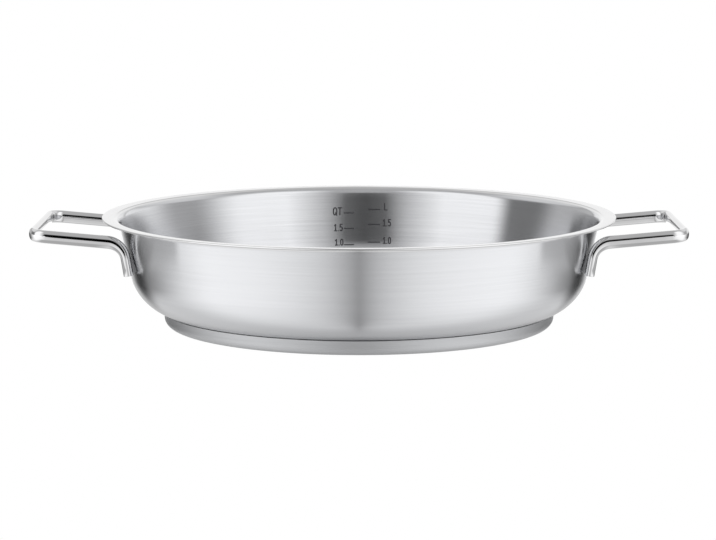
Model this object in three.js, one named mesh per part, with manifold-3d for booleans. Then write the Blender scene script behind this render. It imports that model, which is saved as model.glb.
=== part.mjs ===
// Shallow two-handled serving pan: a drawn steel shell with a flared pouring rim,
// a capsule base (aluminium disc inside a steel cap) and two bent bar handles
// welded to the wall. Millimetres, +Z up, origin on the ground under the centre,
// handles along +X and -X.

import * as THREE from 'three';
import { mergeVertices } from 'three/addons/utils/BufferGeometryUtils.js';
import Module from 'manifold-3d';

// ---------------------------------------------------------------- dimensions

const SEG = 72;                 // facets round the pan

// shell
const RIM_R = 146.0;            // outer edge of the pouring rim
const RIM_Z = 62.2;             // height of the bend's crest
const SHELL_T = 1.0;            // sheet thickness
const WALL_TAPER = 12.4;        // degrees from vertical
const WALL_R = 135.98;          // outer radius of the wall ...
const WALL_Z = 54.9;            // ... at this height
const CORNER_R = 28.6;          // outer radius of the floor corner
const CORNER_CR = 102.5;        // radius at which the floor corner is centred
const FLOOR_Z = 7.2;            // underside of the shell's floor
const LIP_BEND_R = 4.6;         // upper radius of the bend from wall to rim
const LIP_DROOP = -2.2;         // degrees the rim falls towards its edge, negative when it rises

// capsule base
const CAP_R = 111.2;            // outer radius of the cap
const CAP_TOP_R = 111.6;        // outer radius at its upper edge
const CAP_CORNER = 4.8;         // radius of its lower corner
const CAP_T = 0.8;              // sheet thickness
const GAP = 0.3;                // clearance between touching pieces
const CORE_R = 109.3;           // aluminium disc

// handles
const BAR_W = 4.7;              // bars' section across the loop
const BAR_H = 7.15;             // bars' section in height
const LEG_W = 5.8;              // legs' section across the loop
const LEG_H = 5.6;              // legs' section off the wall
const LOOP_Y = 45.0;            // bars' and legs' centres lie this far from the middle
const LOOP_X = 181.2;           // centre of the crossbar
const BAR_X = 160.6;            // the bars' centre lies ...
const BAR_Z = 54.15;            // ... at this height here
const BAR_RISE = 5.05;          // degrees the loop rises outwards
const LEG_X = 128.6;            // the legs' centre lies ...
const LEG_Z = 39.3;             // ... at this height here
const LEG_LEAN = 9.3;           // degrees, along the wall
const LEG_END_Z = 33.4;         // lower end of the legs
const LEG_BEND = 11.0;          // centreline radius, leg to bar
const LOOP_BEND = 8.0;          // centreline radius, bar to crossbar

// weld beads, one along each leg on the side towards the loop's middle
const WELD_LOW = 35.0;          // lower end
const WELD_HIGH = 43.6;         // upper end
const WELD_FROM = 0.8;          // from the leg's middle line, along the wall ...
const WELD_TOE = 4.5;           // ... to the toe
const WELD_TOP = 2.9;           // height off the wall

// ------------------------------------------------------------------ helpers

const deg = Math.PI / 180;
const v2 = (x, y) => new THREE.Vector2(x, y);

function arc(cx, cy, r, from, to, n) {
  const pts = [];
  for (let i = 0; i <= n; i++) {
    const a = (from + (to - from) * i / n) * deg;
    pts.push(v2(cx + r * Math.cos(a), cy + r * Math.sin(a)));
  }
  return pts;
}

function weldedVertices(geometry) {
  const g = geometry.clone();
  g.deleteAttribute('normal');
  g.deleteAttribute('uv');
  const m = mergeVertices(g, 1e-4);
  // drop the collapsed triangles that a lathe leaves on its axis
  const idx = m.index.array, keep = [];
  for (let i = 0; i < idx.length; i += 3) {
    const [a, b, c] = [idx[i], idx[i + 1], idx[i + 2]];
    if (a !== b && b !== c && c !== a) keep.push(a, b, c);
  }
  m.setIndex(keep);
  return m;
}

// Turns a profile round Z. The profile is a list of [radius, height] points.
function turned(profile, segments = SEG) {
  const g = new THREE.LatheGeometry(profile, segments);
  g.rotateX(Math.PI / 2);
  const m = weldedVertices(g);
  const idx = m.index.array, p = m.attributes.position;
  let volume = 0;
  const A = new THREE.Vector3(), B = new THREE.Vector3(), C = new THREE.Vector3();
  for (let i = 0; i < idx.length; i += 3) {
    A.fromBufferAttribute(p, idx[i]);
    B.fromBufferAttribute(p, idx[i + 1]);
    C.fromBufferAttribute(p, idx[i + 2]);
    volume += A.dot(B.cross(C)) / 6;
  }
  if (volume < 0) {
    for (let i = 0; i < idx.length; i += 3) {
      const t = idx[i + 1];
      idx[i + 1] = idx[i + 2];
      idx[i + 2] = t;
    }
  }
  m.computeVertexNormals();
  return m;
}

// -------------------------------------------------------------------- shell

const taper = WALL_TAPER;
const cornerZ = FLOOR_Z + CORNER_R;

// Outer face from the axis up to the rim's edge, moved inwards by t along its normal.
function shellFace(t) {
  const pts = [v2(0, FLOOR_Z + t)];
  pts.push(...arc(CORNER_CR, cornerZ, CORNER_R - t, -90, -taper, 9));
  // bend from the wall to the rim, centred outside the wall
  const s = Math.sin(taper * deg), c = Math.cos(taper * deg);
  const bend = LIP_BEND_R - SHELL_T;                 // radius of the outer face there
  const cz = RIM_Z - LIP_BEND_R;
  const wallAt = (z) => WALL_R + (z - WALL_Z) * s / c;
  const cr = wallAt(cz) + bend / c;
  const r = bend + t;
  pts.push(...arc(cr, cz, r, 180 - taper, 90 - LIP_DROOP, 6));
  return { pts, cr, cz, r };
}

const outer = shellFace(0);
const inner = shellFace(SHELL_T);

function rimEnd(face) {
  // the rim's straight part beyond the bend, which rises slightly
  const a = (90 - LIP_DROOP) * deg;
  const x0 = face.cr + face.r * Math.cos(a), z0 = face.cz + face.r * Math.sin(a);
  const run = (RIM_R - SHELL_T / 2) - x0;
  return v2(x0 + run, z0 - run * Math.tan(LIP_DROOP * deg));
}

const rimLow = rimEnd(outer), rimHigh = rimEnd(inner);
const rimMid = v2((rimLow.x + rimHigh.x) / 2, (rimLow.y + rimHigh.y) / 2);
const edge = [v2(RIM_R - 0.12, rimMid.y - 0.30), v2(RIM_R, rimMid.y), v2(RIM_R - 0.12, rimMid.y + 0.30)];
const shellProfile = [...outer.pts, rimLow, ...edge, rimHigh, ...inner.pts.slice().reverse()];
const shellGeometry = turned(shellProfile);

// --------------------------------------------------------------------- base

// the shell's corner seen from below
const cornerBelow = (r) => r <= CORNER_CR ? FLOOR_Z
  : cornerZ - Math.sqrt(CORNER_R ** 2 - (r - CORNER_CR) ** 2);

const capTop = cornerBelow(CAP_TOP_R) - GAP;
const capOuter = [v2(0, 0), ...arc(CAP_R - CAP_CORNER, CAP_CORNER, CAP_CORNER, -90, 0, 6), v2(CAP_TOP_R, capTop)];
const capInner = [v2(CAP_TOP_R - CAP_T, cornerBelow(CAP_TOP_R - CAP_T) - GAP),
  ...arc(CAP_R - CAP_CORNER, CAP_CORNER, CAP_CORNER - CAP_T, 0, -90, 5), v2(0, CAP_T)];
const capGeometry = turned([...capOuter, ...capInner]);

const coreLow = CAP_T + GAP, coreHigh = FLOOR_Z - GAP;
const coreGeometry = turned([
  v2(0, coreLow),
  ...arc(CORE_R - 3.4, coreLow + 3.4, 3.4, -90, 0, 4),
  v2(CORE_R, coreHigh - 0.6), v2(CORE_R - 0.6, coreHigh), v2(0, coreHigh),
]);

// ------------------------------------------------------------------ handles

// A path made of stations, each a point with its direction.
class StationPath extends THREE.Curve {
  constructor(points, tangents, legShare) {
    super();
    this.points = points;
    this.tangents = tangents;
    this.legShare = legShare;            // 1 where the leg's section holds, 0 where the bar's does
    this.legScale = v2(1, 1);            // leg's section over bar's section
  }
  // The section's width stays level; the axes' lengths carry the change of section.
  computeFrenetFrames(segments) {
    const normals = [], binormals = [];
    for (let i = 0; i <= segments; i++) {
      const t = this.tangents[i], f = this.legShare[i];
      const n = new THREE.Vector3(0, 0, 1).cross(t).normalize();
      const b = t.clone().cross(n).normalize();
      normals.push(n.multiplyScalar(1 + (this.legScale.x - 1) * f));
      binormals.push(b.multiplyScalar(1 + (this.legScale.y - 1) * f));
    }
    return { tangents: this.tangents, normals, binormals };
  }
  getPoint(t, target = new THREE.Vector3()) {
    const k = t * (this.points.length - 1);
    const i = Math.min(Math.floor(k + 1e-9), this.points.length - 2);
    return target.copy(this.points[i]).lerp(this.points[i + 1], k - i);
  }
  getPointAt(t, target) {
    return this.getPoint(t, target);
  }
  getTangentAt(t, target = new THREE.Vector3()) {
    return target.copy(this.tangents[Math.round(t * (this.tangents.length - 1))]);
  }
  getTangent(t, target) {
    return this.getTangentAt(t, target);
  }
}

// Rounds a polyline's corners with arcs and returns the stations.
function roundedPath(corners, radii, arcSteps) {
  const points = [], tangents = [], legShare = [];
  const put = (p, t, f) => { points.push(p); tangents.push(t.clone().normalize()); legShare.push(f); };
  const dir = (i) => corners[i + 1].clone().sub(corners[i]).normalize();
  put(corners[0].clone(), dir(0), 1);
  for (let i = 1; i < corners.length - 1; i++) {
    const d0 = dir(i - 1), d1 = dir(i), r = radii[i - 1], n = arcSteps[i - 1];
    const turn = Math.acos(THREE.MathUtils.clamp(d0.dot(d1), -1, 1));
    const cut = r * Math.tan(turn / 2);
    const start = corners[i].clone().addScaledVector(d0, -cut);
    const axis = d0.clone().cross(d1).normalize();
    const side = axis.clone().cross(d0).normalize();
    const centre = start.clone().addScaledVector(side, r);
    for (let k = 0; k <= n; k++) {
      const a = turn * k / n;
      const p = centre.clone()
        .addScaledVector(side, -r * Math.cos(a))
        .addScaledVector(d0, r * Math.sin(a));
      const f = THREE.MathUtils.smoothstep(k / n, 0, 1);
      put(p, d0.clone().applyAxisAngle(axis, a), i === 1 ? 1 - f : i === corners.length - 2 ? f : 0);
    }
  }
  const last = corners.length - 1;
  put(corners[last].clone(), dir(last - 1), 1);
  return new StationPath(points, tangents, legShare);
}

// Soft oval section, width along x, height along y.
function ovalSection(w, h, n = 14) {
  const pts = [];
  for (let i = 0; i < n; i++) {
    const a = (i + 0.5) / n * 2 * Math.PI;
    const k = 2 / 2.25;
    const c = Math.cos(a), s = Math.sin(a);
    pts.push(v2(Math.sign(c) * Math.abs(c) ** k * w / 2, Math.sign(s) * Math.abs(s) ** k * h / 2));
  }
  // keep the full width and height of the section
  const mx = Math.max(...pts.map((p) => p.x)), my = Math.max(...pts.map((p) => p.y));
  pts.forEach((p) => p.set(p.x * w / 2 / mx, p.y * h / 2 / my));
  return new THREE.Shape(pts);
}

const rise = Math.tan(BAR_RISE * deg), lean = Math.tan(LEG_LEAN * deg);
const barZ = (x) => BAR_Z + (x - BAR_X) * rise;
const legX = (z) => LEG_X + (z - LEG_Z) * lean;
const wallR = (z) => WALL_R + (z - WALL_Z) * Math.tan(taper * deg);

// where leg and bar would meet without the bend
const kneeX = (LEG_X + (BAR_Z - BAR_X * rise - LEG_Z) * lean) / (1 - rise * lean);
const kneeZ = barZ(kneeX);

function handleGeometry(side, grow = 0) {
  const at = (x, y, z) => new THREE.Vector3(side * x, y, z);
  const low = LEG_END_Z - grow;
  const half = (y) => [at(legX(low), y, low), at(kneeX, y, kneeZ), at(LOOP_X, y, barZ(LOOP_X))];
  const corners = [...half(-LOOP_Y), ...half(LOOP_Y).reverse()];
  const path = roundedPath(corners, [LEG_BEND, LOOP_BEND, LOOP_BEND, LEG_BEND], [8, 7, 7, 8]);
  path.legScale.set((LEG_W + 2 * grow) / (BAR_W + 2 * grow), (LEG_H + 2 * grow) / (BAR_H + 2 * grow));
  return new THREE.ExtrudeGeometry(ovalSection(BAR_W + 2 * grow, BAR_H + 2 * grow), {
    steps: path.points.length - 1, extrudePath: path, bevelEnabled: false,
  });
}

// ---------------------------------------------------------------- weld beads

const wasm = await Module();
wasm.setup();

function solid(geometry) {
  const m = weldedVertices(geometry);
  return new wasm.Manifold(new wasm.Mesh({
    numProp: 3,
    vertProperties: Float32Array.from(m.attributes.position.array),
    triVerts: Uint32Array.from(m.index.array),
  }));
}

function geometryOf(manifold) {
  const mesh = manifold.getMesh();
  const g = new THREE.BufferGeometry();
  const n = mesh.vertProperties.length / mesh.numProp;
  const pos = new Float32Array(n * 3);
  for (let i = 0; i < n; i++) {
    for (let k = 0; k < 3; k++) pos[i * 3 + k] = mesh.vertProperties[i * mesh.numProp + k];
  }
  g.setAttribute('position', new THREE.BufferAttribute(pos, 3));
  g.setIndex([...mesh.triVerts]);
  g.computeVertexNormals();
  return g;
}

// Everything inside the wall's outer face, with clearance, as a cutter.
const insideWall = solid(turned([
  v2(0, 20), v2(WALL_R + (20 - WALL_Z) * Math.tan(taper * deg) + GAP / Math.cos(taper * deg), 20),
  v2(WALL_R + (60 - WALL_Z) * Math.tan(taper * deg) + GAP / Math.cos(taper * deg), 60), v2(0, 60),
], 144));

function weldGeometry(side, end) {
  // a fillet along the leg, trimmed by the leg on one side and the wall on the other
  const outline = new THREE.Shape([
    v2(end * WELD_FROM, -1), v2(end * WELD_TOE, -1), v2(end * WELD_TOE, GAP),
    v2(end * (WELD_TOE - 1.55), WELD_TOP), v2(end * WELD_FROM, WELD_TOP),
  ]);
  const long = (WELD_HIGH - WELD_LOW) / Math.cos(taper * deg);
  const g = new THREE.ExtrudeGeometry(outline, { depth: long, bevelEnabled: false, steps: 1 });
  const out = new THREE.Vector3(legX((WELD_LOW + WELD_HIGH) / 2), end * LOOP_Y, 0).normalize();   // away from the axis
  const along = new THREE.Vector3(out.y, -out.x, 0);                     // along the wall
  const up = out.clone().multiplyScalar(Math.sin(taper * deg)).setZ(Math.cos(taper * deg));
  const off = up.clone().cross(along);                                   // off the wall
  const foot = out.clone().multiplyScalar(wallR(WELD_LOW)).setZ(WELD_LOW);
  g.applyMatrix4(new THREE.Matrix4().makeBasis(along, off, up).setPosition(foot));
  let bead = solid(g).subtract(solid(handleGeometry(1, GAP))).subtract(insideWall);
  const bodies = bead.decompose();
  if (bodies.length > 1) bead = bodies.sort((a, b) => b.volume() - a.volume())[0];
  const trimmed = geometryOf(bead);
  if (side < 0) trimmed.rotateZ(Math.PI);
  return trimmed;
}

// ------------------------------------------------------------------ assembly

const brushed = () => new THREE.MeshStandardMaterial({ color: 0xc4c6c8, roughness: 0.34, metalness: 1 });
const polished = () => new THREE.MeshStandardMaterial({ color: 0xd9dbdc, roughness: 0.07, metalness: 1 });
const baseSteel = () => new THREE.MeshStandardMaterial({ color: 0xb4b6b9, roughness: 0.30, metalness: 1 });
const aluminium = () => new THREE.MeshStandardMaterial({ color: 0xc9cccf, roughness: 0.45, metalness: 1 });
const weldMetal = () => new THREE.MeshStandardMaterial({ color: 0x8e9093, roughness: 0.50, metalness: 1 });

const pan = new THREE.Group();

function add(name, geometry, material) {
  const mesh = new THREE.Mesh(geometry, material);
  mesh.name = name;
  pan.add(mesh);
}

add('pan_body', shellGeometry, brushed());
add('base_core', coreGeometry, aluminium());
add('base_cap', capGeometry, baseSteel());
add('left_handle', handleGeometry(-1), polished());
add('right_handle', handleGeometry(1), polished());
add('left_front_weld', weldGeometry(-1, 1), weldMetal());
add('left_rear_weld', weldGeometry(-1, -1), weldMetal());
add('right_front_weld', weldGeometry(1, -1), weldMetal());
add('right_rear_weld', weldGeometry(1, 1), weldMetal());

export default pan;
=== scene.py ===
import math

import bpy
import numpy as np
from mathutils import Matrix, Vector


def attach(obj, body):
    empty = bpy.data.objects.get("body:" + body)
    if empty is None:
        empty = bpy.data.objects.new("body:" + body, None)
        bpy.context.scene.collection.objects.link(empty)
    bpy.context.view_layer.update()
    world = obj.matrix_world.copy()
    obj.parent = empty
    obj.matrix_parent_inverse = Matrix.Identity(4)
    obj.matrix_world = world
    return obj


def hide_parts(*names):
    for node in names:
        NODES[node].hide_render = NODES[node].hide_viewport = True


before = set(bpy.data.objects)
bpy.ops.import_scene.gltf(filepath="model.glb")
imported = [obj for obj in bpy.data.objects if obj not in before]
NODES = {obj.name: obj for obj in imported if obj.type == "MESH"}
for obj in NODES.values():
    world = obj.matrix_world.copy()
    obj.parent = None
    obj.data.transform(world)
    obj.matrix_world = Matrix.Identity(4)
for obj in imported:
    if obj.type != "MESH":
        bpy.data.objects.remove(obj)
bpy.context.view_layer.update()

MM = 0.001

# ------------------------------------------------------------------ dimensions (mm)

RIM_R, RIM_Z, SHELL_T = 146.0, 62.2, 1.0
WALL_TAPER, WALL_R, WALL_Z = 12.4, 135.98, 54.9
CORNER_R, CORNER_CR, FLOOR_Z = 28.6, 102.5, 7.2
LIP_BEND_R, LIP_DROOP = 4.6, -2.2
CAP_R, CAP_TOP_R, CAP_CORNER, CAP_T, GAP = 111.2, 111.6, 4.8, 0.8, 0.3
BAR_W, BAR_H = 4.7, 7.15
LEG_W, LEG_H = 5.8, 5.6
LOOP_Y, LOOP_X, BAR_X, BAR_Z, BAR_RISE = 45.0, 181.2, 160.6, 54.15, 5.05
LEG_X, LEG_Z, LEG_LEAN, LEG_END_Z = 128.6, 39.3, 9.3, 33.4
LEG_BEND, LOOP_BEND = 11.0, 8.0
WELD_LOW, WELD_HIGH = 35.0, 43.6

TAN = math.tan(math.radians(WALL_TAPER))
COS = math.cos(math.radians(WALL_TAPER))


def wall_r(z):
    """outer radius of the straight wall at a height"""
    return WALL_R + (z - WALL_Z) * TAN


def inside_r(z):
    """inner radius of the wall or of the floor corner at a height"""
    up, r = FLOOR_Z + CORNER_R - z, CORNER_R - SHELL_T
    if up <= r * math.sin(math.radians(WALL_TAPER)):
        return wall_r(z) - SHELL_T / COS
    return CORNER_CR + math.sqrt(r * r - up * up)


# ------------------------------------------------------------------ mesh helpers

def mesh_object(name, verts, faces, smooth=True, sharp=40.0):
    me = bpy.data.meshes.new(name)
    me.from_pydata([tuple(v) for v in verts], [], faces)
    me.validate()
    me.update()
    ob = bpy.data.objects.new(name, me)
    bpy.context.scene.collection.objects.link(ob)
    if smooth:
        me.polygons.foreach_set("use_smooth", [True] * len(me.polygons))
        me.set_sharp_from_angle(angle=math.radians(sharp))
    return ob


def arc(cx, cz, r, a0, a1, n):
    return [(cx + r * math.cos(math.radians(a0 + (a1 - a0) * i / n)),
             cz + r * math.sin(math.radians(a0 + (a1 - a0) * i / n))) for i in range(n + 1)]


def lathe(name, profile, seg, zone=None):
    """Turns a profile (mm, from the axis round to the axis) into one closed mesh.
    zone[i] is the material slot of the strip from profile point i to i + 1."""
    inner = [p for p in profile if p[0] > 1e-9]
    start = profile[0]
    end = profile[-1]
    verts = []
    for r, z in inner:
        for k in range(seg):
            a = 2 * math.pi * k / seg
            verts.append((r * math.cos(a) * MM, r * math.sin(a) * MM, z * MM))
    n = len(inner)
    faces, slots = [], []
    for i in range(n - 1):
        for k in range(seg):
            k2 = (k + 1) % seg
            faces.append((i * seg + k, i * seg + k2, (i + 1) * seg + k2, (i + 1) * seg + k))
            slots.append(zone[i + 1] if zone else 0)
    first = len(verts)
    verts.append((0, 0, start[1] * MM))
    last = len(verts)
    verts.append((0, 0, end[1] * MM))
    for k in range(seg):
        k2 = (k + 1) % seg
        faces.append((first, k2, k))
        slots.append(zone[0] if zone else 0)
        faces.append((last, (n - 1) * seg + k, (n - 1) * seg + k2))
        slots.append(zone[-1] if zone else 0)
    ob = mesh_object(name, verts, faces)
    ob.data.polygons.foreach_set("material_index", slots)
    return ob


# ------------------------------------------------------------------ shell

def shell_face(t, n_corner, n_bend):
    s = math.radians(WALL_TAPER)
    cz0 = FLOOR_Z + CORNER_R
    pts = [(r, FLOOR_Z + t) for r in (0.0, 20.0, 40.0, 60.0, 80.0, 95.0)]
    pts += arc(CORNER_CR, cz0, CORNER_R - t, -90, -WALL_TAPER, n_corner)
    bend = LIP_BEND_R - SHELL_T
    cz = RIM_Z - LIP_BEND_R
    cr = wall_r(cz) + bend / COS
    lip = arc(cr, cz, bend + t, 180 - WALL_TAPER, 90 - LIP_DROOP, n_bend)
    low, high = pts[-1], lip[0]
    n_wall = 10
    for i in range(1, n_wall):
        f = i / n_wall
        pts.append((low[0] + (high[0] - low[0]) * f, low[1] + (high[1] - low[1]) * f))
    n_before = len(pts)
    pts += lip
    x0, z0 = lip[-1]
    run = (RIM_R - SHELL_T / 2) - x0
    for f in (0.33, 0.66, 1.0):
        pts.append((x0 + run * f, z0 - run * f * math.tan(math.radians(LIP_DROOP))))
    return pts, n_before


def build_shell():
    outer, bo = shell_face(0.0, 26, 12)
    inner, bi = shell_face(SHELL_T, 26, 16)
    (xl, zl), (xh, zh) = outer[-1], inner[-1]
    zm = (zl + zh) / 2
    half = (zh - zl) / 2
    # rounded rim edge
    edge = [(RIM_R - SHELL_T / 2 + SHELL_T / 2 * math.cos(math.radians(a)), zm + half * math.sin(math.radians(a)))
            for a in (-72, -54, -36, -18, 0, 18, 36, 54, 72)]
    prof = outer + edge + inner[::-1]
    n_out, n_edge = len(outer), len(edge)
    zone = []
    inner_rev = inner[::-1]
    for i in range(len(prof) - 1):
        if i < bo + 3:
            zone.append(0)
        elif i < n_out + n_edge:
            zone.append(1)
        else:
            j = i - n_out - n_edge                 # index in inner_rev
            r = (inner_rev[j][0] + inner_rev[j + 1][0]) / 2
            z = (inner_rev[j][1] + inner_rev[j + 1][1]) / 2
            zone.append(1 if z > RIM_Z - 1.1 else 2)
    ob = lathe("pan_shell", prof, 256, zone)
    return ob


# ------------------------------------------------------------------ capsule cap

def corner_below(r):
    cz0 = FLOOR_Z + CORNER_R
    return FLOOR_Z if r <= CORNER_CR else cz0 - math.sqrt(CORNER_R ** 2 - (r - CORNER_CR) ** 2)


def build_cap():
    top = corner_below(CAP_TOP_R) - GAP
    prof = [(r, 0.0) for r in (0.0, 20.0, 40.0, 60.0, 80.0, 98.0)]
    prof += arc(CAP_R - CAP_CORNER, CAP_CORNER, CAP_CORNER, -90, 0, 14)
    prof += [(CAP_TOP_R - 0.03, top - 0.34), (CAP_TOP_R, top - 0.24), (CAP_TOP_R - 0.02, top - 0.13),
             (CAP_TOP_R - 0.08, top - 0.05), (CAP_TOP_R - 0.18, top - 0.04)]
    ri = CAP_TOP_R - CAP_T
    prof += [(ri + 0.1, corner_below(ri + 0.1) - GAP - 0.03), (ri, corner_below(ri) - GAP - 0.06)]
    prof += arc(CAP_R - CAP_CORNER, CAP_CORNER, CAP_CORNER - CAP_T, 0, -90, 10)
    prof += [(r, CAP_T) for r in (90.0, 60.0, 30.0, 0.0)]
    return lathe("capsule_cap", prof, 256)


# ------------------------------------------------------------------ handles

def leg_x(z):
    """the legs' centreline leans with the wall"""
    return LEG_X + (z - LEG_Z) * math.tan(math.radians(LEG_LEAN))


def handle_path(side):
    """stations of the bar's centreline: points and directions, mm, and how far each is pressed to the leg's section"""
    rise = math.tan(math.radians(BAR_RISE))
    bar_z = lambda x: BAR_Z + (x - BAR_X) * rise
    knee_z = BAR_Z
    for _ in range(20):
        knee_z = bar_z(leg_x(knee_z))
    half = [(leg_x(LEG_END_Z), LEG_END_Z), (leg_x(knee_z), knee_z), (LOOP_X, bar_z(LOOP_X))]
    corners = [Vector((x * side, -LOOP_Y, z)) for x, z in half] + [Vector((x * side, LOOP_Y, z)) for x, z in half[::-1]]
    radii = [LEG_BEND, LOOP_BEND, LOOP_BEND, LEG_BEND]
    fine = [20, 20, 20, 20]
    pts, tans, press = [], [], []
    direction = lambda i: (corners[i + 1] - corners[i]).normalized()
    straight_from = corners[0]
    last = len(radii)
    for i in range(1, last + 1):
        d0, d1, r = direction(i - 1), direction(i), radii[i - 1]
        turn = d0.angle(d1)
        cut = r * math.tan(turn / 2)
        start = corners[i] - d0 * cut
        axis = d0.cross(d1).normalized()
        out = axis.cross(d0).normalized()
        centre = start + out * r
        n = max(2, int((start - straight_from).length / 4))
        for k in range(n):
            pts.append(straight_from + (start - straight_from) * (k / n))
            tans.append(d0.copy())
            press.append(1.0 if i == 1 else 0.0)
        m = fine[i - 1]
        for k in range(m):
            a = turn * k / m
            pts.append(centre - out * r * math.cos(a) + d0 * r * math.sin(a))
            tans.append((d0 * math.cos(a) + out * math.sin(a)).normalized())
            f = k / m
            f = f * f * (3 - 2 * f)
            press.append(1 - f if i == 1 else f if i == last else 0.0)
        straight_from = centre - out * r * math.cos(turn) + d0 * r * math.sin(turn)
    d = direction(last)
    n = max(3, int((corners[-1] - straight_from).length / 4))
    for k in range(n + 1):
        pts.append(straight_from + (corners[-1] - straight_from) * (k / n))
        tans.append(d.copy())
        press.append(1.0)
    return pts, tans, press


def build_handle(name, side):
    pts, tans, press = handle_path(side)
    # soft ends: the section draws in at the very end
    soft = 0.35
    side_n = 48
    k = 2 / 2.2

    def section(draw_in, f):
        w, h = BAR_W + (LEG_W - BAR_W) * f, BAR_H + (LEG_H - BAR_H) * f
        out = []
        for i in range(side_n):
            a = 2 * math.pi * i / side_n
            c, s = math.cos(a), math.sin(a)
            out.append((math.copysign(abs(c) ** k, c) * (w / 2 - draw_in), math.copysign(abs(s) ** k, s) * (h / 2 - draw_in)))
        return out

    ends = [(soft * (1 - math.cos(f * math.pi / 2)), soft * (1 - math.sin(f * math.pi / 2))) for f in (0.0, 0.3, 0.6, 0.85)]
    stations = [(pts[0] + tans[0] * along, tans[0], draw_in, 1.0) for along, draw_in in ends]
    stations.append((pts[0] + tans[0] * soft, tans[0], 0.0, 1.0))
    stations += [(p, t, 0.0, f) for p, t, f in zip(pts[1:-1], tans[1:-1], press[1:-1])]
    stations.append((pts[-1] - tans[-1] * soft, tans[-1], 0.0, 1.0))
    stations += [(pts[-1] - tans[-1] * along, tans[-1], draw_in, 1.0) for along, draw_in in ends[::-1]]
    rows = []
    for p, t, draw_in, f in stations:
        width = Vector((0, 0, 1)).cross(t).normalized()       # level all along the bar
        height = t.cross(width).normalized()
        rows.append([p + width * x + height * y for x, y in section(draw_in, f)])
    verts = [v * MM for row in rows for v in row]
    m = side_n
    faces = []
    for i in range(len(rows) - 1):
        for j in range(m):
            j2 = (j + 1) % m
            faces.append((i * m + j, i * m + j2, (i + 1) * m + j2, (i + 1) * m + j))
    faces.append(tuple(range(m - 1, -1, -1)))
    faces.append(tuple((len(rows) - 1) * m + j for j in range(m)))
    return mesh_object(name, verts, faces)


def fix_normals(ob):
    import bmesh
    bm = bmesh.new()
    bm.from_mesh(ob.data)
    bmesh.ops.recalc_face_normals(bm, faces=bm.faces)
    bm.to_mesh(ob.data)
    bm.free()


# ------------------------------------------------------------------ weld beads

def build_weld(name, sx, sy):
    """a fillet bead along the leg, on the side towards the loop's middle: rows up the leg, each a closed ring"""
    leg_rad = LEG_H / 2 + 0.02
    on_leg = lambda a: (leg_rad * math.sin(math.radians(a)), leg_c - leg_rad * math.cos(math.radians(a)))
    n_rows = 45
    rows = []
    for i in range(n_rows):
        f = i / (n_rows - 1)
        z = WELD_LOW + (WELD_HIGH - WELD_LOW) * f
        w = wall_r(z)
        turn = math.atan2(LOOP_Y, leg_x(z))
        leg_c = (math.hypot(LOOP_Y, leg_x(z)) - w) * COS      # how far the leg's centre stands off the wall
        end = math.sqrt(max(0.0, 1 - abs(2 * f - 1) ** 6))
        size = 0.35 + 0.65 * end
        size *= 1 + 0.05 * abs(math.sin(i * math.pi / 4.4))
        toe, top = 1.3 + 2.7 * size, 28 + 44 * size
        (lx, ly) = on_leg(top)
        ring = [on_leg(12), (0.6, -0.03), (2.0, -0.05), (toe - 0.5, -0.06), (toe, -0.02)]
        for q in (0.25, 0.5, 0.75):                # slightly hollow face from the wall to the leg
            sag = 0.16 * size * math.sin(q * math.pi)
            ring.append((toe + (lx - toe) * q - sag, ly * q - sag))
        ring += [on_leg(top), on_leg(top * 0.8), on_leg(top * 0.6), on_leg(top * 0.4)]
        pts = []
        for t, up in ring:
            a = turn - t / w
            pts.append(Vector(((w + up) * math.cos(a), (w + up) * math.sin(a), z)))
        rows.append(pts)
    n_ring = len(rows[0])
    verts = [Vector((v.x * sx, v.y * sy, v.z)) * MM for r in rows for v in r]
    faces = []
    for i in range(n_rows - 1):
        for j in range(n_ring):
            j2 = (j + 1) % n_ring
            faces.append((i * n_ring + j, i * n_ring + j2, (i + 1) * n_ring + j2, (i + 1) * n_ring + j))
    faces.append(tuple(range(n_ring - 1, -1, -1)))
    faces.append(tuple((n_rows - 1) * n_ring + j for j in range(n_ring)))
    ob = mesh_object(name, verts, faces)
    fix_normals(ob)
    return ob


# ------------------------------------------------------------------ volume marks

# strokes of each sign on a unit cell, 0..1 wide and 0..1 high
SIGNS = {
    "0": [[(0.12, 0.2), (0.12, 0.8), (0.3, 1.0), (0.7, 1.0), (0.88, 0.8), (0.88, 0.2), (0.7, 0.0), (0.3, 0.0), (0.12, 0.2)]],
    "1": [[(0.2, 0.78), (0.55, 1.0), (0.55, 0.0)], [(0.2, 0.0), (0.9, 0.0)]],
    "5": [[(0.85, 1.0), (0.2, 1.0), (0.17, 0.56), (0.55, 0.63), (0.82, 0.5), (0.88, 0.3), (0.75, 0.07), (0.45, 0.0), (0.12, 0.1)]],
    ".": [[(0.42, 0.0), (0.58, 0.0)]],
    "L": [[(0.2, 1.0), (0.2, 0.0), (0.85, 0.0)]],
    "Q": [[(0.1, 0.25), (0.1, 0.75), (0.3, 1.0), (0.7, 1.0), (0.9, 0.75), (0.9, 0.25), (0.7, 0.0), (0.3, 0.0), (0.1, 0.25)], [(0.6, 0.28), (0.95, -0.08)]],
    "T": [[(0.05, 1.0), (0.95, 1.0)], [(0.5, 1.0), (0.5, 0.0)]],
}


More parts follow.
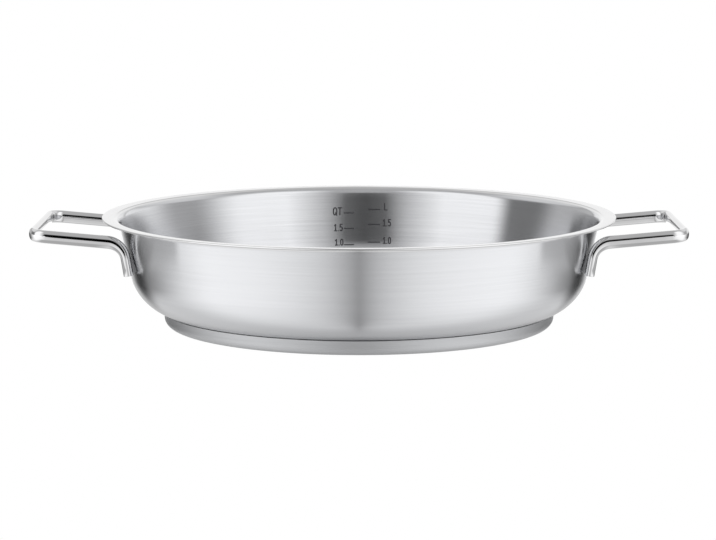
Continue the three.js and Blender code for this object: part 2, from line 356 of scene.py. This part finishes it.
def build_marks():
    """thin solid strokes that follow the inside of the back wall"""
    verts, faces = [], []
    proud, sunk = 0.05, 0.12

    def on_wall(x, z, off):
        r = inside_r(z) - off
        a = x / r
        return Vector((r * math.sin(a), r * math.cos(a), z)) * MM

    def stroke(p0, p1, width):
        (x0, z0), (x1, z1) = p0, p1
        length = math.hypot(x1 - x0, z1 - z0)
        dx, dz = (x1 - x0) / length, (z1 - z0) / length
        h = width / 2
        # round-ended outline
        outline = []
        for a in (-90, -45, 0, 45, 90):
            c, s = math.cos(math.radians(a)), math.sin(math.radians(a))
            outline.append((x1 + h * (c * dx - s * dz), z1 + h * (c * dz + s * dx)))
        for a in (90, 135, 180, 225, 270):
            c, s = math.cos(math.radians(a)), math.sin(math.radians(a))
            outline.append((x0 + h * (c * dx - s * dz), z0 + h * (c * dz + s * dx)))
        b = len(verts)
        n = len(outline)
        for x, z in outline:
            verts.append(on_wall(x, z, proud))
        for x, z in outline:
            verts.append(on_wall(x, z, -sunk))
        faces.append(tuple(b + i for i in range(n)))
        faces.append(tuple(b + n + i for i in range(n - 1, -1, -1)))
        for i in range(n):
            j = (i + 1) % n
            faces.append((b + i, b + n + i, b + n + j, b + j))

    def word(text, x0, x1, z0, height, width):
        cells = [0.55 if c == "." else 1.0 for c in text]
        unit = (x1 - x0) / (sum(cells) + 0.18 * (len(text) - 1))
        x = x0
        for c, cw in zip(text, cells):
            for line in SIGNS[c]:
                for p, q in zip(line, line[1:]):
                    stroke((x + p[0] * unit * cw, z0 + p[1] * height), (x + q[0] * unit * cw, z0 + q[1] * height), width)
            x += unit * (cw + 0.18)

    pen = 0.72
    for z in (48.8, 39.6, 28.8):
        stroke((5.8, z), (13.0, z), 0.66)
    for z in (46.7, 37.2, 27.25):
        stroke((-9.2, z), (-3.2, z), 0.66)
    word("L", 15.6, 18.0, 48.6, 4.0, pen)
    word("1.5", 14.9, 19.9, 38.8, 3.9, pen)
    word("1.0", 14.9, 19.9, 28.2, 3.5, pen)
    word("QT", -16.2, -10.6, 45.6, 4.2, pen)
    word("1.5", -15.6, -10.2, 35.8, 3.9, pen)
    word("1.0", -15.0, -9.8, 27.1, 3.4, pen)
    ob = mesh_object("volume_marks", verts, faces, smooth=False)
    fix_normals(ob)
    return ob


# ------------------------------------------------------------------ materials

def new_material(name):
    m = bpy.data.materials.new(name)
    m.use_nodes = True
    nt = m.node_tree
    nt.nodes.clear()
    out = nt.nodes.new("ShaderNodeOutputMaterial")
    bsdf = nt.nodes.new("ShaderNodeBsdfPrincipled")
    nt.links.new(bsdf.outputs[0], out.inputs[0])
    return m, nt, bsdf


def math_node(nt, op, a, b=None, c=None):
    n = nt.nodes.new("ShaderNodeMath")
    n.operation = op
    for i, v in enumerate((a, b, c)):
        if v is None:
            continue
        if isinstance(v, (int, float)):
            n.inputs[i].default_value = v
        else:
            nt.links.new(v, n.inputs[i])
    return n.outputs[0]


def turned_coords(nt, along, across):
    """coordinates that run with the turning marks: two round the axis, one across the marks"""
    tc = nt.nodes.new("ShaderNodeTexCoord")
    sep = nt.nodes.new("ShaderNodeSeparateXYZ")
    nt.links.new(tc.outputs["Object"], sep.inputs[0])
    x, y, z = sep.outputs
    r = math_node(nt, "SQRT", math_node(nt, "ADD", math_node(nt, "MULTIPLY", x, x), math_node(nt, "MULTIPLY", y, y)))
    r_safe = math_node(nt, "MAXIMUM", r, 0.0005)
    p = math_node(nt, "ADD", r, z)
    comb = nt.nodes.new("ShaderNodeCombineXYZ")
    nt.links.new(math_node(nt, "MULTIPLY", math_node(nt, "DIVIDE", x, r_safe), along), comb.inputs[0])
    nt.links.new(math_node(nt, "MULTIPLY", math_node(nt, "DIVIDE", y, r_safe), along), comb.inputs[1])
    nt.links.new(math_node(nt, "MULTIPLY", p, across), comb.inputs[2])
    return comb.outputs[0]


def noise(nt, vec, scale=1.0, detail=2.0, rough=0.5):
    n = nt.nodes.new("ShaderNodeTexNoise")
    n.inputs["Scale"].default_value = scale
    n.inputs["Detail"].default_value = detail
    n.inputs["Roughness"].default_value = rough
    nt.links.new(vec, n.inputs["Vector"])
    return n.outputs["Fac"]


def ramp(nt, fac, stops):
    n = nt.nodes.new("ShaderNodeValToRGB")
    e = n.color_ramp.elements
    while len(e) < len(stops):
        e.new(0.5)
    for el, (pos, col) in zip(e, stops):
        el.position = pos
        el.color = (*col, 1.0) if len(col) == 3 else col
    nt.links.new(fac, n.inputs[0])
    return n.outputs["Color"]


def map_range(nt, v, a, b, c, d, mode="LINEAR"):
    n = nt.nodes.new("ShaderNodeMapRange")
    n.interpolation_type = mode
    nt.links.new(v, n.inputs["Value"])
    for key, val in (("From Min", a), ("From Max", b), ("To Min", c), ("To Max", d)):
        n.inputs[key].default_value = val
    return n.outputs["Result"]


def bump(nt, bsdf, height, strength, distance):
    n = nt.nodes.new("ShaderNodeBump")
    n.inputs["Strength"].default_value = strength
    n.inputs["Distance"].default_value = distance
    nt.links.new(height, n.inputs["Height"])
    nt.links.new(n.outputs[0], bsdf.inputs["Normal"])


def radial_tangent(nt, bsdf):
    t = nt.nodes.new("ShaderNodeTangent")
    t.direction_type = "RADIAL"
    t.axis = "Z"
    nt.links.new(t.outputs[0], bsdf.inputs["Tangent"])


def brushed_steel(name, dark, light, rough_lo, rough_hi, aniso, bump_strength):
    m, nt, b = new_material(name)
    fine = noise(nt, turned_coords(nt, 2.2, 5200.0), 1.0, 3.0, 0.62)
    broad = noise(nt, turned_coords(nt, 1.2, 700.0), 1.0, 2.0, 0.5)
    mix = math_node(nt, "ADD", math_node(nt, "MULTIPLY", fine, 0.7), math_node(nt, "MULTIPLY", broad, 0.3))
    nt.links.new(ramp(nt, mix, [(0.30, dark), (0.70, light)]), b.inputs["Base Color"])
    nt.links.new(map_range(nt, mix, 0.3, 0.7, rough_hi, rough_lo), b.inputs["Roughness"])
    b.inputs["Metallic"].default_value = 1.0
    b.inputs["Anisotropic"].default_value = aniso
    b.inputs["Anisotropic Rotation"].default_value = 0.25
    radial_tangent(nt, b)
    bump(nt, b, fine, bump_strength, 0.00002)
    return m


def polished_steel(name, dark, light, rough_lo, rough_hi):
    m, nt, b = new_material(name)
    tc = nt.nodes.new("ShaderNodeTexCoord")
    cloud = noise(nt, tc.outputs["Object"], 55.0, 3.0, 0.5)
    fine = noise(nt, tc.outputs["Object"], 1400.0, 2.0, 0.5)
    nt.links.new(ramp(nt, cloud, [(0.3, dark), (0.7, light)]), b.inputs["Base Color"])
    nt.links.new(map_range(nt, math_node(nt, "ADD", math_node(nt, "MULTIPLY", cloud, 0.6), math_node(nt, "MULTIPLY", fine, 0.4)),
                           0.3, 0.7, rough_lo, rough_hi), b.inputs["Roughness"])
    b.inputs["Metallic"].default_value = 1.0
    return m


STEEL_SHELL = brushed_steel("shell_brushed_steel", (0.555, 0.56, 0.575), (0.60, 0.605, 0.62), 0.18, 0.22, 1.0, 0.12)
STEEL_INSIDE = brushed_steel("inside_brushed_steel", (0.53, 0.535, 0.55), (0.625, 0.63, 0.645), 0.135, 0.165, 1.0, 0.10)
STEEL_RIM = polished_steel("rim_polished_steel", (0.62, 0.62, 0.625), (0.66, 0.66, 0.665), 0.07, 0.11)
# the base's darker colour is partly the 18/0 steel's own tone and partly painted shade, standing for the shadowed table
# next to the base that it reflects
STEEL_BASE_TONE_AND_SHADE = brushed_steel("base_satin_steel_and_painted_shade", (0.42, 0.425, 0.435), (0.47, 0.475, 0.485), 0.46, 0.54, 0.4, 0.2)
STEEL_BAR = polished_steel("handle_polished_steel", (0.62, 0.62, 0.625), (0.66, 0.66, 0.665), 0.035, 0.06)


def weld_material():
    m, nt, b = new_material("weld_steel")
    tc = nt.nodes.new("ShaderNodeTexCoord")
    n = noise(nt, tc.outputs["Object"], 700.0, 4.0, 0.6)
    nt.links.new(ramp(nt, n, [(0.3, (0.30, 0.30, 0.31)), (0.7, (0.48, 0.48, 0.49))]), b.inputs["Base Color"])
    nt.links.new(map_range(nt, n, 0.3, 0.7, 0.3, 0.5), b.inputs["Roughness"])
    b.inputs["Metallic"].default_value = 1.0
    bump(nt, b, n, 0.3, 0.0002)
    return m


def core_material():
    m, nt, b = new_material("core_rolled_aluminium")
    tc = nt.nodes.new("ShaderNodeTexCoord")
    mp = nt.nodes.new("ShaderNodeMapping")
    mp.inputs["Scale"].default_value = (20.0, 1500.0, 300.0)
    nt.links.new(tc.outputs["Object"], mp.inputs["Vector"])
    n = noise(nt, mp.outputs[0], 1.0, 3.0, 0.6)
    nt.links.new(ramp(nt, n, [(0.3, (0.66, 0.67, 0.68)), (0.7, (0.78, 0.79, 0.80))]), b.inputs["Base Color"])
    nt.links.new(map_range(nt, n, 0.3, 0.7, 0.36, 0.5), b.inputs["Roughness"])
    b.inputs["Metallic"].default_value = 1.0
    return m


def mark_material():
    m, nt, b = new_material("etched_marks")
    b.inputs["Specular IOR Level"].default_value = 0.2
    n = noise(nt, turned_coords(nt, 40.0, 3000.0), 1.0, 3.0, 0.6)
    nt.links.new(ramp(nt, n, [(0.3, (0.016, 0.016, 0.018)), (0.7, (0.035, 0.035, 0.038))]), b.inputs["Base Color"])
    nt.links.new(map_range(nt, n, 0.3, 0.7, 0.55, 0.75), b.inputs["Roughness"])
    return m


STEEL_WELD = weld_material()
CORE = core_material()
MARKS = mark_material()

# ------------------------------------------------------------------ pieces

shell = build_shell()
fix_normals(shell)
shell.data.materials.append(STEEL_SHELL)
shell.data.materials.append(STEEL_RIM)
shell.data.materials.append(STEEL_INSIDE)
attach(shell, "root")
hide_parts("pan_body")

cap = build_cap()
fix_normals(cap)
cap.data.materials.append(STEEL_BASE_TONE_AND_SHADE)
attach(cap, "root")
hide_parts("base_cap")

for name, side in (("left_handle", -1), ("right_handle", 1)):
    bar = build_handle(name + "_bar", side)
    fix_normals(bar)
    bar.data.materials.append(STEEL_BAR)
    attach(bar, "root")
    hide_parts(name)

for name, sx, sy in (("left_front_weld", -1, -1), ("left_rear_weld", -1, 1), ("right_front_weld", 1, -1), ("right_rear_weld", 1, 1)):
    bead = build_weld(name + "_bead", sx, sy)
    bead.data.materials.append(STEEL_WELD)
    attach(bead, "root")
    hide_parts(name)

marks = build_marks()
marks.data.materials.append(MARKS)
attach(marks, "root")

core = NODES["base_core"]
core.data.materials.clear()
core.data.materials.append(CORE)

# ------------------------------------------------------------------ stage

# a wide disc, open where the base covers it
ROUND = 96
turn = [(math.cos(2 * math.pi * i / ROUND), math.sin(2 * math.pi * i / ROUND)) for i in range(ROUND)]
floor = mesh_object("floor", [(r * c, r * s, 0.0) for r in (0.10665, 6.0) for c, s in turn],
                    [(i, ROUND + i, ROUND + (i + 1) % ROUND, (i + 1) % ROUND) for i in range(ROUND)], smooth=False)
fm = bpy.data.materials.new("floor_white")
fm.use_nodes = True
fnt = fm.node_tree
fnt.nodes.clear()
fo = fnt.nodes.new("ShaderNodeOutputMaterial")
fe = fnt.nodes.new("ShaderNodeEmission")
fe.inputs["Color"].default_value = (1.0, 1.0, 1.0, 1.0)
fe.inputs["Strength"].default_value = 1.0
fnt.links.new(fe.outputs[0], fo.inputs[0])
floor.data.materials.append(fm)
floor.visible_glossy = False


TABLE_TOP, TABLE_DIP, TABLE_BACK, PANEL, DOME, BACK = 1.55, 1.05, 0.70, 1.51, 0.64, 1.06


def tent():
    """soft light tent round the table: one sheet whose glow differs from side to side"""
    verts, faces = [], []
    nu, nv, R = 64, 32, 5.0
    for j in range(nv + 1):
        el = math.pi * (j / nv - 0.5)
        for i in range(nu):
            az = 2 * math.pi * i / nu
            verts.append((R * math.cos(el) * math.cos(az), R * math.cos(el) * math.sin(az), R * math.sin(el) + 0.04))
    for j in range(nv):
        for i in range(nu):
            i2 = (i + 1) % nu
            faces.append((j * nu + i, j * nu + i2, (j + 1) * nu + i2, (j + 1) * nu + i))
    ob = mesh_object("light_tent", verts, faces)
    m = bpy.data.materials.new("tent_glow")
    m.use_nodes = True
    nt = m.node_tree
    nt.nodes.clear()
    out = nt.nodes.new("ShaderNodeOutputMaterial")
    em = nt.nodes.new("ShaderNodeEmission")
    nt.links.new(em.outputs[0], out.inputs[0])
    geo = nt.nodes.new("ShaderNodeNewGeometry")
    sep = nt.nodes.new("ShaderNodeSeparateXYZ")
    nt.links.new(geo.outputs["Position"], sep.inputs[0])
    x, y, z = sep.outputs
    h = math_node(nt, "SQRT", math_node(nt, "ADD", math_node(nt, "MULTIPLY", x, x), math_node(nt, "MULTIPLY", y, y)))
    h = math_node(nt, "MAXIMUM", h, 1e-4)
    el = math_node(nt, "MULTIPLY", math_node(nt, "ARCTAN2", math_node(nt, "SUBTRACT", z, 0.04), h), 180 / math.pi)

    az = math_node(nt, "MULTIPLY", math_node(nt, "ARCTAN2", x, math_node(nt, "MULTIPLY", y, -1.0)), 180 / math.pi)
    side = math_node(nt, "ABSOLUTE", az)
    mul = lambda *v: v[0] if len(v) == 1 else math_node(nt, "MULTIPLY", v[0], mul(*v[1:]))
    plus = lambda a, b: math_node(nt, "ADD", a, b)
    step = lambda v, a, b, lo=0.0, hi=1.0: map_range(nt, v, a, b, lo, hi, "SMOOTHSTEP")

    off = math_node(nt, "ABSOLUTE", plus(az, 3.4))
    blend = lambda a, b, f: plus(mul(a, math_node(nt, "SUBTRACT", 1.0, f)), mul(b, f))

    # table: dimmest straight ahead, brightest to the front corners, dark to the rear corners
    dip = mul(math_node(nt, "EXPONENT", math_node(nt, "MULTIPLY", side, -1.0 / 25.0)), TABLE_DIP)
    front = mul(math_node(nt, "SUBTRACT", TABLE_TOP, dip), map_range(nt, el, -70, 0, 0.80, 1.13))
    low = step(el, -16, -28)
    fall = blend(step(side, 76, 128, 1.0, 0.15), step(side, 78, 130, 1.0, 0.62), low)
    fall = mul(fall, blend(step(side, 130, 140, 1.0, 0.15), 1.0, low))
    table = blend(mul(front, fall), TABLE_BACK, step(side, 148, 160))
    table = mul(table, step(el, -78, -44, 0.93, 1.0))
    rear = step(side, 158, 166)
    top = plus(mul(step(off, 5, 12), step(off, 26, 16), 8.5), plus(step(off, 16, 26, -0.2, 3.5), mul(rear, -8.0)))
    table = mul(table, step(math_node(nt, "SUBTRACT", el, top), -2.5, -6.5))
    # front panels with a dark gap for the camera between them, ceiling, backdrop
    lift = map_range(nt, off, 10.5, 27, 20.5, -1.5)
    above = step(math_node(nt, "SUBTRACT", el, lift), -3.5, 3.5)
    right = plus(step(az, 63, 95, 1.0, 0.37), mul(step(az, 105, 132), 0.40))
    left = plus(step(az, -86.5, -74.5, 0.16, 1.0), mul(step(az, -102, -122), 0.28))
    tall = blend(step(el, 82, 56), step(el, 40, 14), step(side, 92, 112))
    panels = mul(map_range(nt, off, 0, 42, 0.0, 1.0), left, right, above, tall, math_node(nt, "SUBTRACT", PANEL, mul(rear, PANEL)))
    roof = plus(DOME, mul(step(side, 70, 115), step(side, 178, 166), step(el, 62, 45), 0.36))
    dome = mul(step(math_node(nt, "SUBTRACT", el, lift), 1.0, 10.0), step(el, 12, 30), roof)
    rise = plus(el, mul(math_node(nt, "SUBTRACT", side, 180.0), 2.6))
    high = step(rise, 8.2, 13.5, 1.0, 0.66)
    back = mul(rear, step(el, -12.0, -8.0), high, step(el, 60, 40), BACK)
    total = plus(table, math_node(nt, "MAXIMUM", back, math_node(nt, "MAXIMUM", panels, dome)))
    nt.links.new(total, em.inputs["Strength"])
    ob.data.materials.append(m)
    ob.visible_camera = False
    ob.visible_diffuse = False
    ob.visible_shadow = False
    return ob


tent()


def table_shade():
    """painted shade: a dim strip standing for the table's shadow below the near bar of each handle, for reflections
    only
    """
    verts, faces = [], []
    for sx in (-1, 1):
        b = len(verts)
        verts += [(sx * 0.13, -0.09, 0.028), (sx * 0.22, -0.09, 0.028), (sx * 0.22, -0.03, 0.028), (sx * 0.13, -0.03, 0.028)]
        faces.append((b, b + 1, b + 2, b + 3))
    ob = mesh_object("table_shade", verts, faces, smooth=False)
    m = bpy.data.materials.new("shaded_table")
    m.use_nodes = True
    nt = m.node_tree
    nt.nodes.clear()
    out = nt.nodes.new("ShaderNodeOutputMaterial")
    em = nt.nodes.new("ShaderNodeEmission")
    em.inputs["Color"].default_value = (1.0, 1.0, 1.0, 1.0)
    em.inputs["Strength"].default_value = 0.60
    clear = nt.nodes.new("ShaderNodeBsdfTransparent")
    mix = nt.nodes.new("ShaderNodeMixShader")
    geo = nt.nodes.new("ShaderNodeNewGeometry")
    sep = nt.nodes.new("ShaderNodeSeparateXYZ")
    nt.links.new(geo.outputs["Position"], sep.inputs[0])
    ax = math_node(nt, "ABSOLUTE", sep.outputs[0])
    near = math_node(nt, "ABSOLUTE", math_node(nt, "SUBTRACT", sep.outputs[1], -0.061))
    inner = map_range(nt, ax, 0.141, 0.151, 0.0, 1.0, "SMOOTHSTEP")
    outer = map_range(nt, ax, 0.215, 0.190, 0.0, 1.0, "SMOOTHSTEP")
    ends = map_range(nt, near, 0.028, 0.016, 0.0, 1.0, "SMOOTHSTEP")
    nt.links.new(math_node(nt, "MULTIPLY", math_node(nt, "MULTIPLY", inner, outer), ends), mix.inputs[0])
    nt.links.new(clear.outputs[0], mix.inputs[1])
    nt.links.new(em.outputs[0], mix.inputs[2])
    nt.links.new(mix.outputs[0], out.inputs[0])
    ob.data.materials.append(m)
    ob.visible_camera = False
    ob.visible_diffuse = False
    ob.visible_shadow = False
    return ob


table_shade()

# overhead light for the floor
ld = bpy.data.lights.new("overhead", "AREA")
ld.shape = "SQUARE"
ld.size = 6.0
ld.energy = 420.0
lo = bpy.data.objects.new("overhead", ld)
lo.location = (0, 0, 3.0)
bpy.context.scene.collection.objects.link(lo)
lo.visible_glossy = False
lo.visible_camera = False

world = bpy.data.worlds.new("studio")
bpy.context.scene.world = world
world.use_nodes = True
bg = world.node_tree.nodes.get("Background") or world.node_tree.nodes.new("ShaderNodeBackground")
bg.inputs[0].default_value = (1, 1, 1, 1)
bg.inputs[1].default_value = 1.0

# ------------------------------------------------------------------ camera

cam_data = bpy.data.cameras.new("camera")
cam_data.sensor_width = 36.0
cam_data.lens = 2507.4 / 716.0 * 36.0
cam_data.clip_start = 0.05
cam = bpy.data.objects.new("camera", cam_data)
cam.location = (-0.000584, -1.41992, 0.23828)
cam.rotation_euler = (math.radians(90 - 8.339), 0.0, 0.0)
bpy.context.scene.collection.objects.link(cam)
bpy.context.scene.camera = cam

view = bpy.context.scene.view_settings
view.view_transform = "Standard"
view.look = "None"
view.exposure = 0.0
view.gamma = 1.0

bpy.context.view_layer.update()
